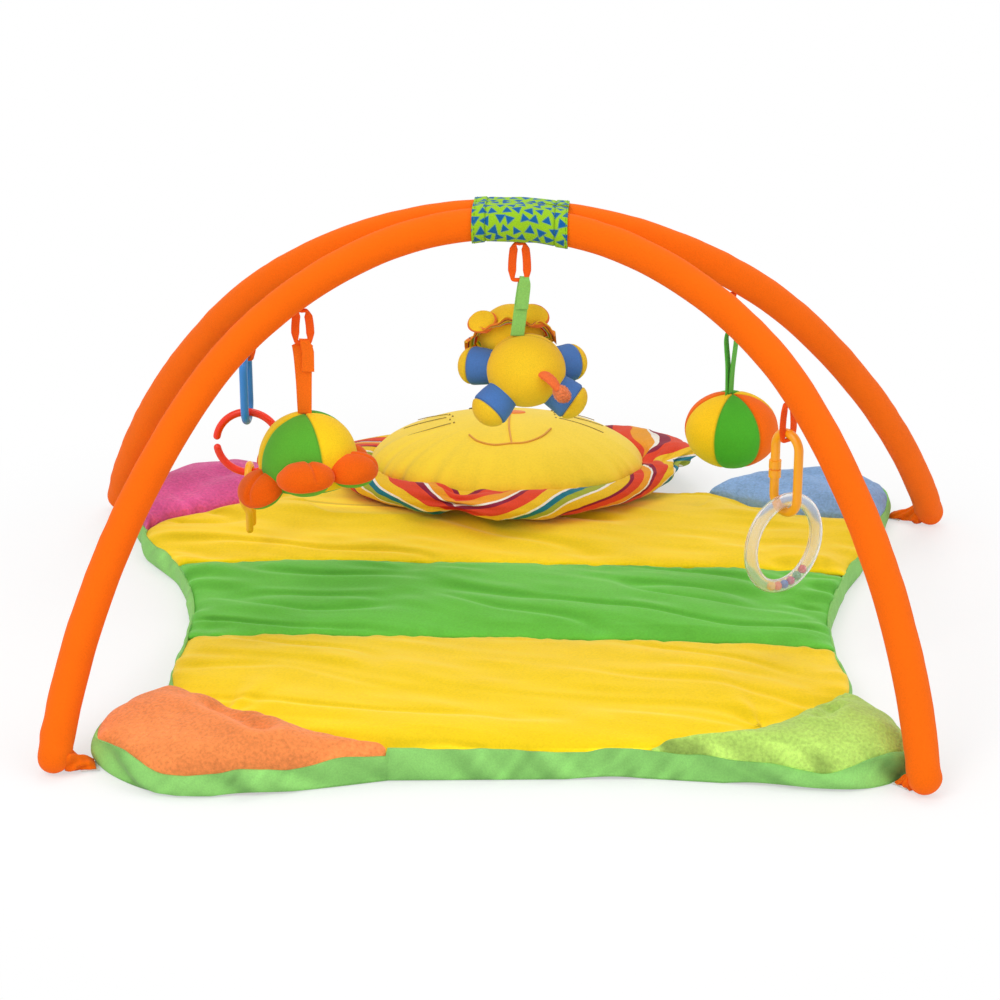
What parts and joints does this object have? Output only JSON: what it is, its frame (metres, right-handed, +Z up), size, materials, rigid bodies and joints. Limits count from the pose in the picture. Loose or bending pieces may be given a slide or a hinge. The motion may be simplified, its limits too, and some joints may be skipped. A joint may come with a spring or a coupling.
{
  "type": "activity play gym",
  "caption": "Padded animal-shaped floor mat with a head pillow, crossed by padded arches that carry swinging soft toys, links and a rattle for a baby to reach.",
  "frame": {"origin": "on the floor, on the mat's underside, below the apex of the arches", "axes": "+Z up, -Y to the mat's front edge, +X to the right seen from the front"},
  "size_m": [1.0036, 1.033, 0.4659],
  "materials": {
    "mat_plush": "short plush",
    "mat_backing_cloth": "woven",
    "wadding": "loose polyester wadding",
    "border_cloth": "woven",
    "band_plush": "short plush",
    "paw_orange": "terry",
    "paw_lime": "terry",
    "paw_magenta": "terry",
    "paw_blue": "terry",
    "white_webbing": "woven webbing",
    "mane_cloth": "striped woven cloth",
    "pole_plastic": "moulded",
    "foam": "closed-cell foam",
    "sleeve_cloth": "brushed woven",
    "wrap_cloth": "printed woven",
    "loop_tape": "woven tape",
    "orange_strap": "woven",
    "green_strap": "woven",
    "shell_cloth": "short plush",
    "belly_cloth": "short plush",
    "flipper_cloth": "short plush",
    "ball_cloth": "short plush",
    "lion_cloth": "short plush",
    "lion_leg_cloth": "short plush",
    "lion_tail_cloth": "short plush",
    "blue_plastic": "moulded gloss",
    "red_plastic": "moulded gloss",
    "yellow_plastic": "moulded gloss",
    "clear_plastic": "clear moulded plastic",
    "bead_plastic": "moulded gloss"
  },
  "bodies": {
    "mat": {"mat_backing": "mat_backing_cloth", "mat_filling": "wadding", "mat_border": "border_cloth", "panel_front": "mat_plush", "panel_band": "band_plush", "panel_back": "mat_plush", "paw_front_left": "paw_orange", "paw_front_right": "paw_lime", "paw_back_left": "paw_magenta", "paw_back_right": "paw_blue", "corner_tabs": "white_webbing", "head_pillow": "mat_plush", "head_mane": "mane_cloth", "front_tails": "sleeve_cloth", "back_tails": "sleeve_cloth"},
    "front_arch": {"front_poles": "pole_plastic", "front_pole_joiner": "pole_plastic", "front_foam": "foam", "front_sleeve": "sleeve_cloth", "wrap_front": "wrap_cloth"},
    "back_arch": {"back_poles": "pole_plastic", "back_pole_joiner": "pole_plastic", "back_foam": "foam", "back_sleeve": "sleeve_cloth", "wrap_back": "wrap_cloth"},
    "turtle_hanger": {"turtle_loop": "loop_tape"},
    "rattle_hanger": {"rattle_loop": "loop_tape"},
    "chain_hanger": {"chain_loop": "loop_tape"},
    "ball_hanger": {"ball_loop": "loop_tape"},
    "lion_hanger": {"lion_loop": "loop_tape"},
    "turtle_toy": {"turtle_strap": "orange_strap", "turtle_shell": "shell_cloth", "turtle_belly": "belly_cloth", "turtle_head": "flipper_cloth", "turtle_leg_near": "flipper_cloth", "turtle_leg_right": "flipper_cloth", "turtle_leg_left": "flipper_cloth", "turtle_leg_far": "flipper_cloth"},
    "ball_toy": {"ball_strap": "green_strap", "ball": "ball_cloth"},
    "lion_toy": {"lion_strap": "green_strap", "lion_body": "lion_cloth", "lion_head": "lion_cloth", "lion_mane": "mane_cloth", "lion_ear_left": "lion_cloth", "lion_ear_right": "lion_cloth", "lion_leg_front_left": "lion_leg_cloth", "lion_leg_front_right": "lion_leg_cloth", "lion_leg_rear_left": "lion_leg_cloth", "lion_leg_rear_right": "lion_leg_cloth", "lion_tail": "lion_tail_cloth", "lion_tail_tuft": "lion_tail_cloth"},
    "blue_link": {"chain_blue_link": "blue_plastic"},
    "red_ring": {"chain_red_ring": "red_plastic"},
    "yellow_link": {"chain_yellow_link": "yellow_plastic"},
    "clasp_link": {"rattle_link": "yellow_plastic"},
    "clear_ring": {"rattle_ring_front": "clear_plastic", "rattle_ring_back": "clear_plastic"},
    "beads": {"rattle_beads": "bead_plastic"}
  },
  "joints": [
    {"name": "front_arch_fold", "type": "hinge", "parent": "mat", "child": "front_arch", "pos_m": [0, -0.386, 0.0168], "axis": [1, 0, 0], "range_deg": [0, 125]},
    {"name": "back_arch_fold", "type": "hinge", "parent": "mat", "child": "back_arch", "pos_m": [0, 0.312, 0.0168], "axis": [-1, 0, 0], "range_deg": [0, 120]},
    {"name": "turtle_loop_swing", "type": "hinge", "parent": "front_arch", "child": "turtle_hanger", "pos_m": [-0.20548, -0.06781, 0.36516], "axis": [0, 1, 0], "range_deg": [-15, 15]},
    {"name": "rattle_loop_swing", "type": "hinge", "parent": "front_arch", "child": "rattle_hanger", "pos_m": [0.28711, -0.12611, 0.29337], "axis": [-0.6691, 0.7431, 0], "range_deg": [-15, 15]},
    {"name": "chain_loop_swing", "type": "hinge", "parent": "back_arch", "child": "chain_hanger", "pos_m": [-0.29254, 0.09852, 0.30237], "axis": [0, 1, 0], "range_deg": [-15, 15]},
    {"name": "ball_loop_swing", "type": "hinge", "parent": "back_arch", "child": "ball_hanger", "pos_m": [0.23445, 0.06731, 0.35027], "axis": [-0.9063, 0.4226, 0], "range_deg": [-15, 15]},
    {"name": "lion_loop_swing", "type": "hinge", "parent": "front_arch", "child": "lion_hanger", "pos_m": [0.01324, -0.01729, 0.42536], "axis": [0, 1, 0], "range_deg": [-15, 15]},
    {"name": "turtle_swing", "type": "hinge", "parent": "turtle_hanger", "child": "turtle_toy", "pos_m": [-0.20548, -0.06781, 0.33216], "axis": [1, 0, 0], "range_deg": [-30, 30]},
    {"name": "ball_swing", "type": "hinge", "parent": "ball_hanger", "child": "ball_toy", "pos_m": [0.23445, 0.06731, 0.31627], "axis": [0.4226, 0.9063, 0], "range_deg": [-30, 30]},
    {"name": "lion_swing", "type": "hinge", "parent": "lion_hanger", "child": "lion_toy", "pos_m": [0.01324, -0.01729, 0.38736], "axis": [1, 0, 0], "range_deg": [-30, 30]},
    {"name": "blue_link_swing", "type": "hinge", "parent": "chain_hanger", "child": "blue_link", "pos_m": [-0.29254, 0.09852, 0.26037], "axis": [1, 0, 0], "range_deg": [-30, 30]},
    {"name": "red_ring_swing", "type": "hinge", "parent": "blue_link", "child": "red_ring", "pos_m": [-0.29254, 0.09852, 0.19017], "axis": [0, 1, 0], "range_deg": [-20, 20]},
    {"name": "yellow_link_swing", "type": "hinge", "parent": "red_ring", "child": "yellow_link", "pos_m": [-0.29254, 0.09852, 0.12857], "axis": [1, 0, 0], "range_deg": [-30, 30]},
    {"name": "clasp_link_swing", "type": "hinge", "parent": "rattle_hanger", "child": "clasp_link", "pos_m": [0.28711, -0.12611, 0.25637], "axis": [0.7431, 0.6691, 0], "range_deg": [-30, 30]},
    {"name": "clear_ring_swing", "type": "hinge", "parent": "clasp_link", "child": "clear_ring", "pos_m": [0.28711, -0.12611, 0.17977], "axis": [-0.6691, 0.7431, 0], "range_deg": [-25, 25]},
    {"name": "beads_roll", "type": "hinge", "parent": "clear_ring", "child": "beads", "pos_m": [0.28711, -0.12611, 0.14577], "axis": [-0.6691, 0.7431, 0], "continuous": true}
  ]
}
